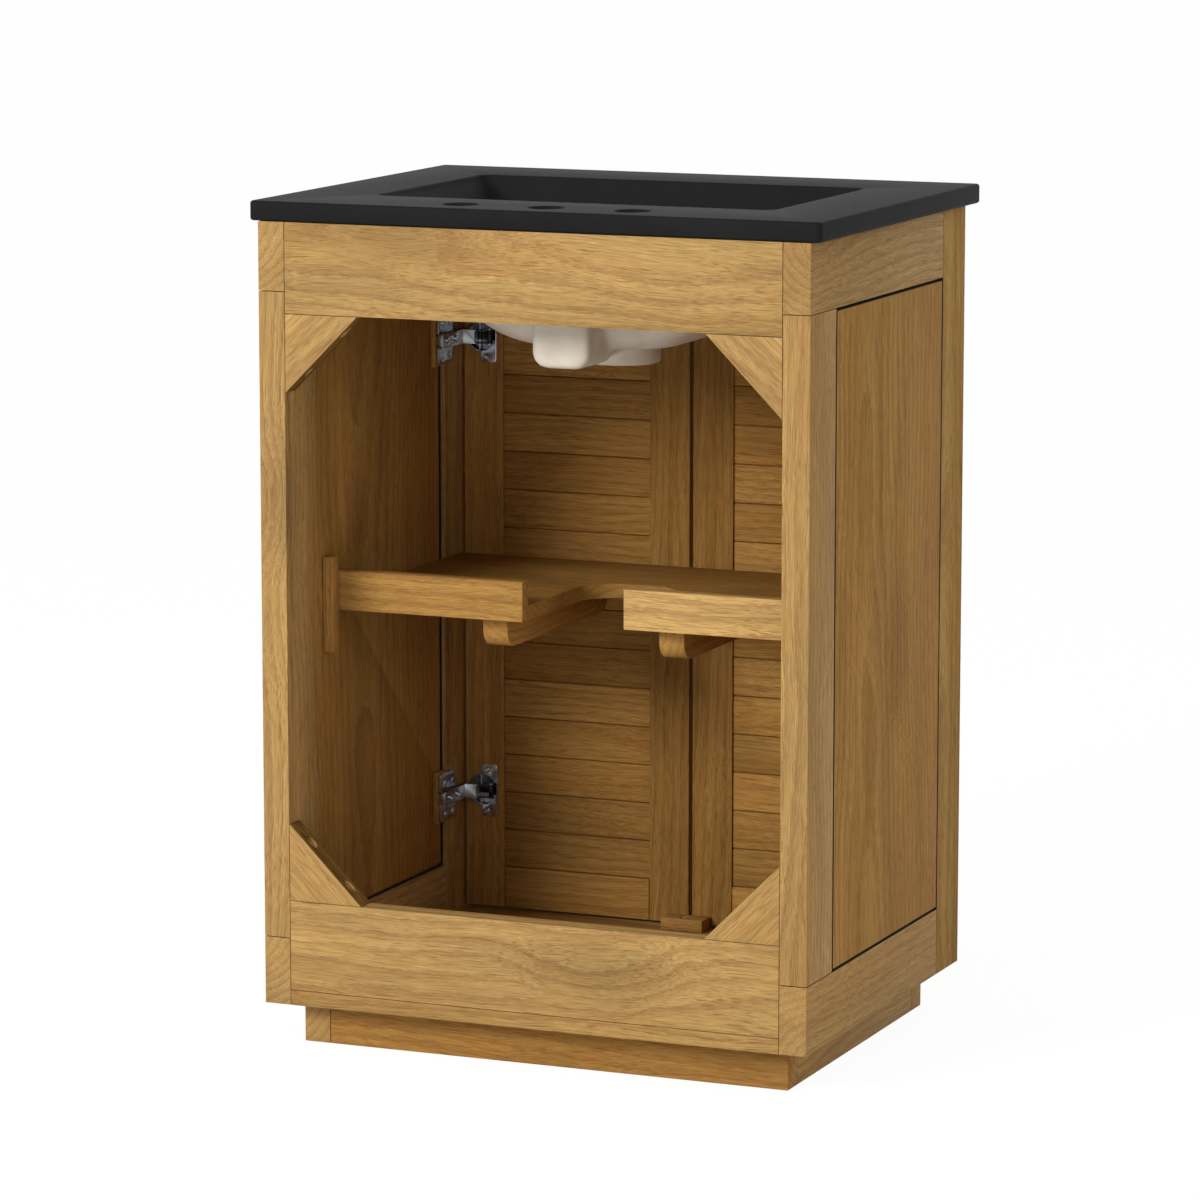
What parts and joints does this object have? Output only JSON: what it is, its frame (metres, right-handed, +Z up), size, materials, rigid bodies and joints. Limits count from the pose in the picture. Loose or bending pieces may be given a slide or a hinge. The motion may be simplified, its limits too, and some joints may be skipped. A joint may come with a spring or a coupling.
{
  "type": "vanity cabinet with basin",
  "caption": "Free-standing wooden vanity cabinet with slatted inset doors, open back, cut-out shelf and a black ceramic top with a sunk rectangular basin.",
  "frame": {"origin": "on the floor, in the middle of the ceramic top's outline", "axes": "+Z up, -Y out of the front with the doors, +Y out of the open back, +X to the right of someone facing the doors"},
  "size_m": [0.61, 0.47, 0.864],
  "materials": {
    "glaze": "satin black glaze, off-white underside",
    "frame_wood": "warm mid-brown satin lacquer on straight-grained wood",
    "panel_wood": "veneered panel, satin lacquer",
    "nickelled_steel": "nickel-plated pressed steel",
    "knob_finish": "satin black"
  },
  "bodies": {
    "cabinet": {"ceramic_sink_top": "glaze", "right_front_stile": "frame_wood", "right_rear_stile": "frame_wood", "right_top_rail": "frame_wood", "right_bottom_rail": "frame_wood", "right_side_panel": "frame_wood", "left_front_stile": "frame_wood", "left_rear_stile": "frame_wood", "left_top_rail": "frame_wood", "left_bottom_rail": "frame_wood", "left_side_panel": "frame_wood", "rear_top_rail": "frame_wood", "rear_bottom_rail": "frame_wood", "front_top_rail": "frame_wood", "cabinet_floor": "panel_wood", "frame_dowels": "frame_wood", "upper_corner_braces": "frame_wood", "lower_corner_braces": "frame_wood", "brace_screws": "nickelled_steel", "plinth_front": "frame_wood", "plinth_rear": "frame_wood", "plinth_right": "frame_wood", "plinth_left": "frame_wood", "shelf": "panel_wood", "shelf_lip_right": "frame_wood", "shelf_lip_left": "frame_wood", "shelf_runners": "frame_wood", "shelf_stops": "frame_wood", "shelf_pins": "nickelled_steel", "door_stop_block": "frame_wood", "door_stop_screw": "nickelled_steel", "hinge_packing_blocks": "frame_wood", "hinge_plates": "nickelled_steel", "hinge_plate_screws": "nickelled_steel", "hinge_arms": "nickelled_steel", "hinge_arm_screws": "nickelled_steel", "hinge_arm_pins": "nickelled_steel"},
    "hinge_levers_right": {"hinge_levers_right": "nickelled_steel"},
    "door_right": {"door_right_hinge_stile": "frame_wood", "door_right_meeting_stile": "frame_wood", "door_right_top_rail": "frame_wood", "door_right_bottom_rail": "frame_wood", "door_right_slats": "frame_wood", "door_right_knob": "knob_finish", "hinge_cups_right": "nickelled_steel", "hinge_cup_pins_right": "nickelled_steel", "hinge_cup_screws_right": "nickelled_steel"},
    "hinge_levers_left": {"hinge_levers_left": "nickelled_steel"},
    "door_left": {"door_left_hinge_stile": "frame_wood", "door_left_meeting_stile": "frame_wood", "door_left_top_rail": "frame_wood", "door_left_bottom_rail": "frame_wood", "door_left_slats": "frame_wood", "door_left_knob": "knob_finish", "hinge_cups_left": "nickelled_steel", "hinge_cup_pins_left": "nickelled_steel", "hinge_cup_screws_left": "nickelled_steel"}
  },
  "joints": [
    {"name": "hinge_levers_right_turn", "type": "hinge", "parent": "cabinet", "child": "hinge_levers_right", "pos_m": [0.23, -0.187, 0.4385], "axis": [0, 0, 1], "range_deg": [-31, 0]},
    {"name": "door_right_opening", "type": "hinge", "parent": "hinge_levers_right", "child": "door_right", "pos_m": [0.248, -0.202, 0.4385], "axis": [0, 0, 1], "range_deg": [0, 136]},
    {"name": "hinge_levers_left_turn", "type": "hinge", "parent": "cabinet", "child": "hinge_levers_left", "pos_m": [-0.23, -0.187, 0.4385], "axis": [0, 0, -1], "range_deg": [-31, 0]},
    {"name": "door_left_opening", "type": "hinge", "parent": "hinge_levers_left", "child": "door_left", "pos_m": [-0.248, -0.202, 0.4385], "axis": [0, 0, -1], "range_deg": [0, 136]}
  ],
  "couplings": [
    {"joint": "hinge_levers_right_turn", "follows": "door_right_opening", "ratio": -0.2272},
    {"joint": "hinge_levers_left_turn", "follows": "door_left_opening", "ratio": -0.2272}
  ]
}
